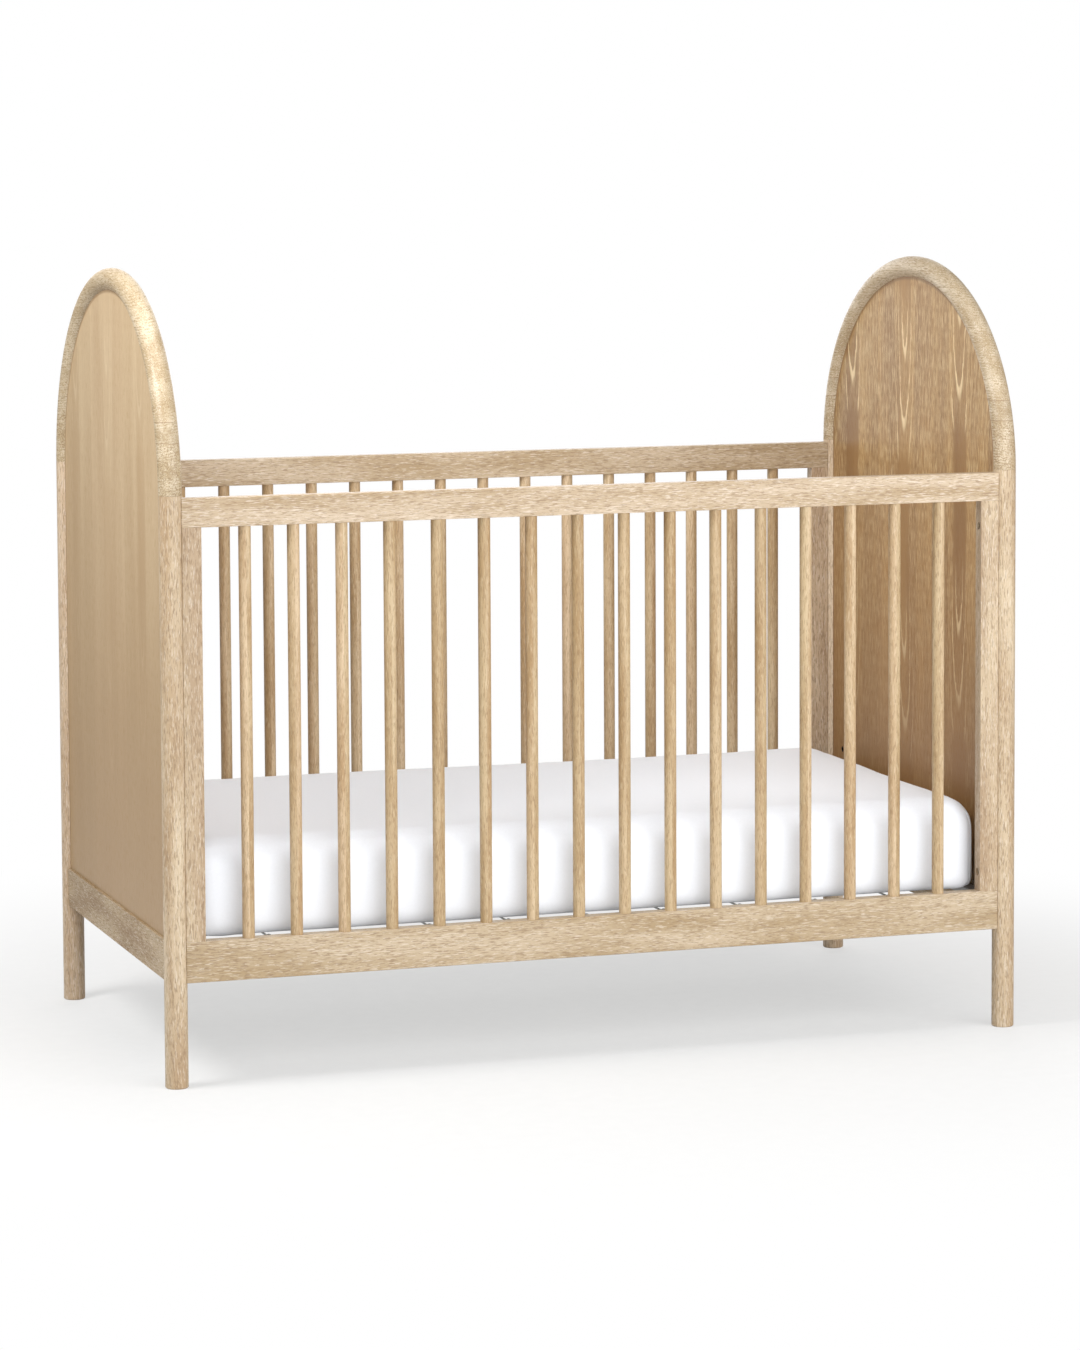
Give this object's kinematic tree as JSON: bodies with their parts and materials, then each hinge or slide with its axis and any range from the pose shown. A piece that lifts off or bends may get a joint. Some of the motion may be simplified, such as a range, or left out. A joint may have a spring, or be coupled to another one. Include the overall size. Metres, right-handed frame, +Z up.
{
  "type": "baby crib",
  "caption": "Full-size baby crib: arched panel ends on round posts, fixed spindle sides, and a mattress in a fitted sheet on a height-adjustable spring support.",
  "frame": {"origin": "on the floor, under the middle of the crib", "axes": "+X along the crib's length to its right end, +Y across to its back side, +Z up"},
  "size_m": [1.381, 0.755, 1.2135],
  "materials": {
    "oak_post": "matte",
    "oak_arch": "matte",
    "oak_rail": "matte",
    "oak_spindle": "matte",
    "oak_panel": "satin",
    "beech_dowel": "matte",
    "white_cotton": "matte",
    "mattress_core": "matte",
    "powder_coated_steel": "satin",
    "spring_steel": "satin",
    "zinc_steel": "satin"
  },
  "bodies": {
    "crib_frame": {"arch_dowels": "beech_dowel", "back_bottom_rail": "oak_rail", "back_left_post": "oak_post", "back_left_stile": "oak_rail", "back_right_post": "oak_post", "back_right_stile": "oak_rail", "back_spindle_01": "oak_spindle", "back_spindle_02": "oak_spindle", "back_spindle_03": "oak_spindle", "back_spindle_04": "oak_spindle", "back_spindle_05": "oak_spindle", "back_spindle_06": "oak_spindle", "back_spindle_07": "oak_spindle", "back_spindle_08": "oak_spindle", "back_spindle_09": "oak_spindle", "back_spindle_10": "oak_spindle", "back_spindle_11": "oak_spindle", "back_spindle_12": "oak_spindle", "back_spindle_13": "oak_spindle", "back_spindle_14": "oak_spindle", "back_spindle_15": "oak_spindle", "back_spindle_16": "oak_spindle", "back_top_rail": "oak_rail", "front_bottom_rail": "oak_rail", "front_left_post": "oak_post", "front_left_stile": "oak_rail", "front_right_post": "oak_post", "front_right_stile": "oak_rail", "front_spindle_01": "oak_spindle", "front_spindle_02": "oak_spindle", "front_spindle_03": "oak_spindle", "front_spindle_04": "oak_spindle", "front_spindle_05": "oak_spindle", "front_spindle_06": "oak_spindle", "front_spindle_07": "oak_spindle", "front_spindle_08": "oak_spindle", "front_spindle_09": "oak_spindle", "front_spindle_10": "oak_spindle", "front_spindle_11": "oak_spindle", "front_spindle_12": "oak_spindle", "front_spindle_13": "oak_spindle", "front_spindle_14": "oak_spindle", "front_spindle_15": "oak_spindle", "front_spindle_16": "oak_spindle", "front_top_rail": "oak_rail", "hanger_bolts": "zinc_steel", "left_arch": "oak_arch", "left_end_panel": "oak_panel", "left_end_rail": "oak_rail", "right_arch": "oak_arch", "right_end_panel": "oak_panel", "right_end_rail": "oak_rail", "side_bolts": "zinc_steel", "threaded_inserts": "zinc_steel"},
    "mattress_support": {"support_frame": "powder_coated_steel", "support_wires": "spring_steel", "wire_springs": "spring_steel", "hanger_brackets": "powder_coated_steel"},
    "mattress": {"mattress": "mattress_core", "fitted_sheet": "white_cotton"}
  },
  "joints": [
    {"name": "support_height", "type": "slide", "parent": "crib_frame", "child": "mattress_support", "axis": [0, 0, 1], "range_m": [0, 0.18]},
    {"name": "mattress_lift_out", "type": "slide", "parent": "mattress_support", "child": "mattress", "axis": [0, 0, 1], "range_m": [0, 0.75]}
  ]
}
